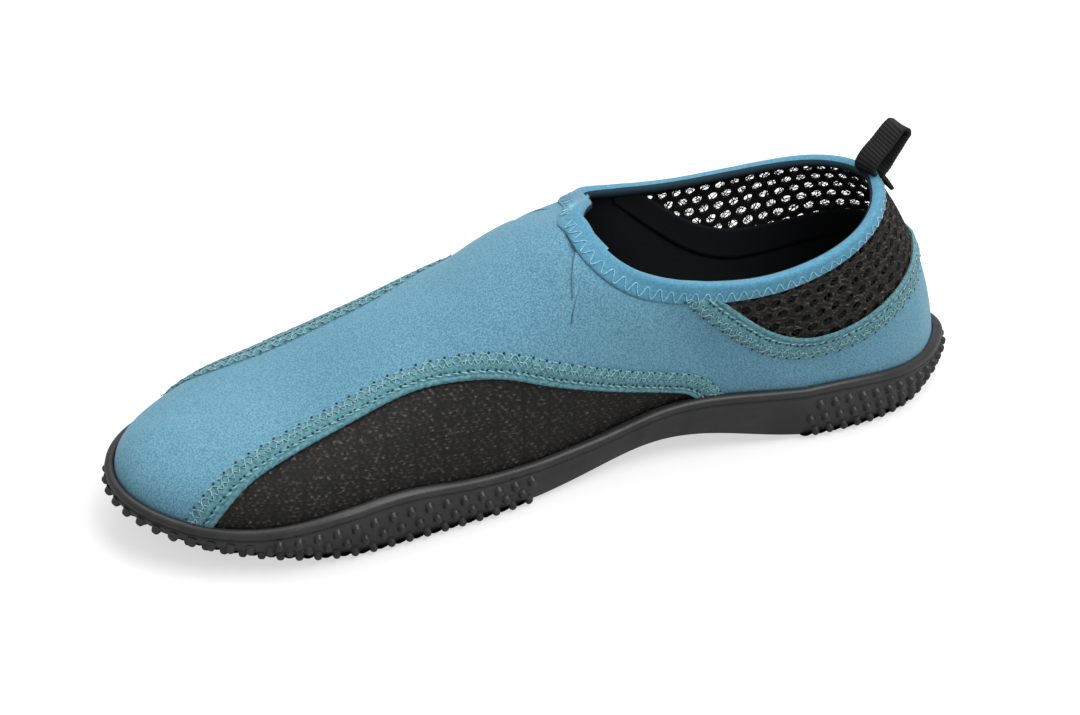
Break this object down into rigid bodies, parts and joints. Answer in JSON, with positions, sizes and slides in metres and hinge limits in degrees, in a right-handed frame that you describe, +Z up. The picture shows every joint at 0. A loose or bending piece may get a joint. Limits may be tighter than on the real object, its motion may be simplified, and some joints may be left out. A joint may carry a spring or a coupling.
{
  "type": "water shoe",
  "caption": "Slip-on water shoe: rubber cup sole with studs, stretch upper with knitted mesh side and heel panels, bound collar and a pull loop at the heel",
  "frame": {"origin": "on the ground under the middle of the shoe's bounding box", "axes": "+X runs from the heel to the toe, +Y to the inner side of the foot, +Z up"},
  "size_m": [0.2756, 0.0919, 0.0896],
  "materials": {
    "outsole": "matt moulded black rubber",
    "insole": "dark foam with a cloth face",
    "upper": "blue neoprene with a fine jersey face",
    "side_mesh": "dense black ribbed knit",
    "heel_mesh": "open black mesh",
    "seam": "overlocked band of pale thread",
    "binding": "smooth blue tape with a zigzag stitch",
    "pull_loop": "black ribbed webbing"
  },
  "bodies": {
    "root": {"outsole": "outsole", "insole": "insole", "upper": "upper", "mesh_side_medial": "side_mesh", "mesh_side_lateral": "side_mesh", "mesh_heel": "heel_mesh", "seam_side_medial": "seam", "seam_side_lateral": "seam", "seam_heel": "seam", "collar_binding": "binding", "pull_loop": "pull_loop"}
  },
  "joints": []
}
